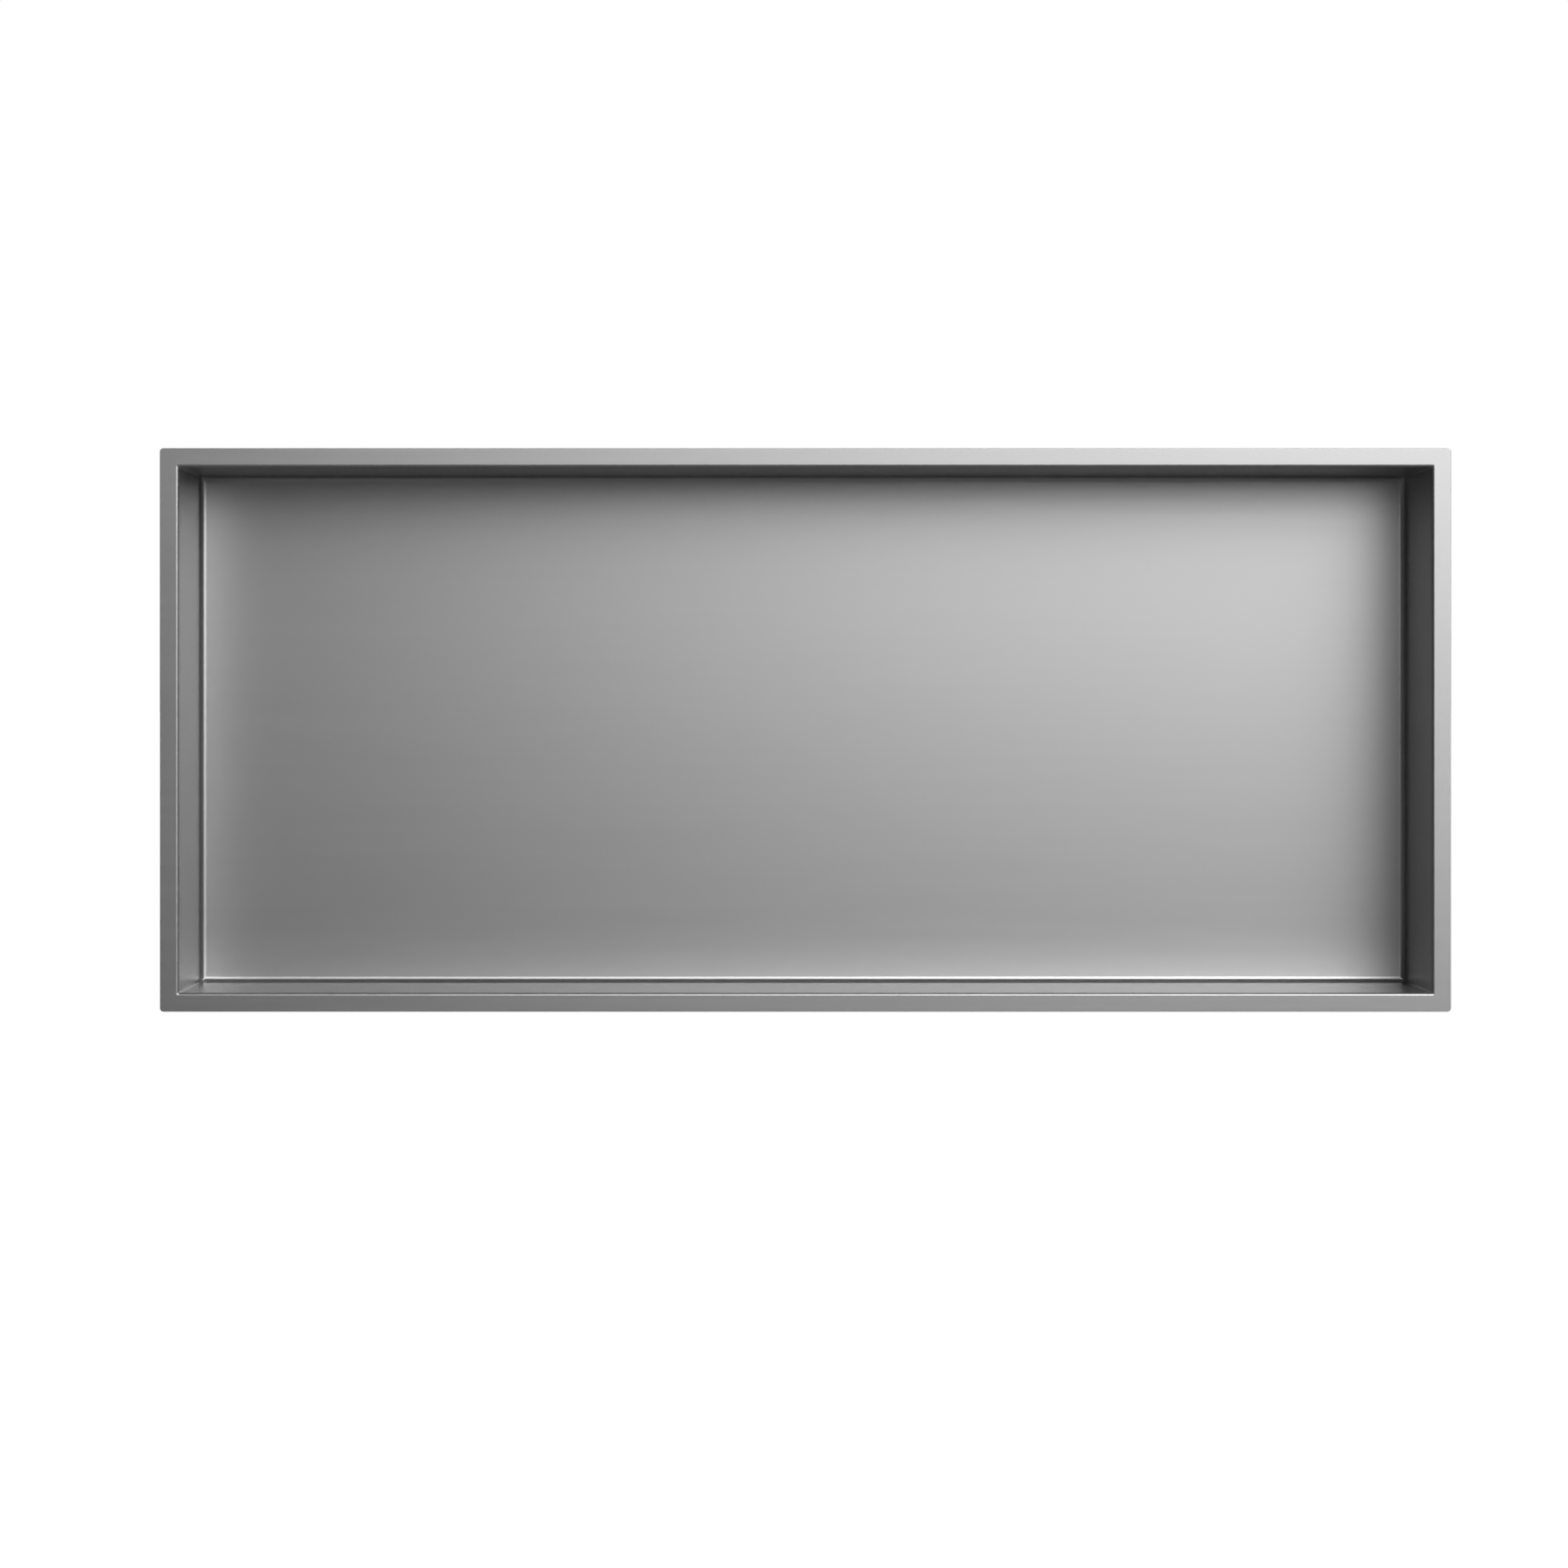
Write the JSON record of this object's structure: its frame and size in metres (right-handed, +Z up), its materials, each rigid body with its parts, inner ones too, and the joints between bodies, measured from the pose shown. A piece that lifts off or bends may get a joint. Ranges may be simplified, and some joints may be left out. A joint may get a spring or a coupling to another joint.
{
  "type": "shower niche insert",
  "caption": "Open-fronted rectangular box of brushed stainless sheet with a narrow flat rim, set into a tiled shower wall as a recessed shelf for bottles and soap.",
  "frame": {"origin": "middle of the opening on the face of the tiles, which is the plane of the back of the rim", "axes": "+X along the niche, +Y into the wall, +Z up; the opening faces -Y"},
  "size_m": [0.71, 0.1, 0.31],
  "materials": {
    "stainless": "satin brushed stainless steel, neutral grey"
  },
  "bodies": {
    "root": {"niche_body": "stainless"}
  },
  "joints": []
}
